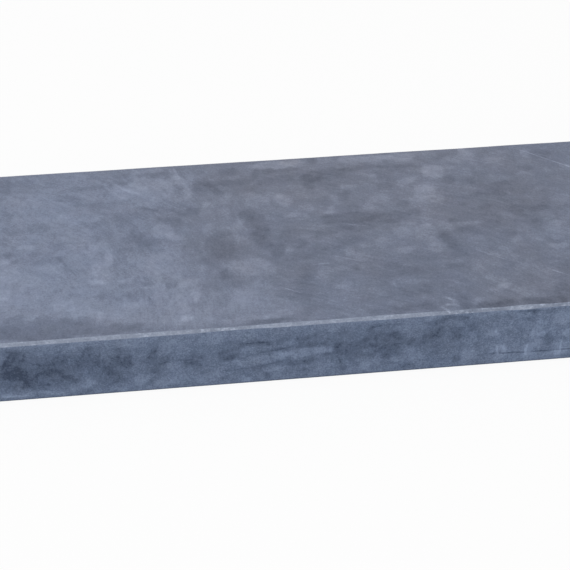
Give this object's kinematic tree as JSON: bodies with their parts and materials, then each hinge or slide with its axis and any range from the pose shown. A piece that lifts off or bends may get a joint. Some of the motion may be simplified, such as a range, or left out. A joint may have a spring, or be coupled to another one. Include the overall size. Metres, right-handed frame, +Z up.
{
  "type": "pond edge stone",
  "caption": "Straight coping stone for a pond rim: a long flat slab of blue-grey limestone with a honed top and a ground facet round its upper edges.",
  "frame": {"origin": "middle of the underside, which is the bed face", "axes": "+X along the stone's length, -Y towards the pond side that the picture shows, +Z up out of the honed top"},
  "size_m": [1, 0.2, 0.05],
  "materials": {
    "blue_limestone": "matte"
  },
  "bodies": {
    "root": {"pond_edge_stone": "blue_limestone"}
  },
  "joints": []
}
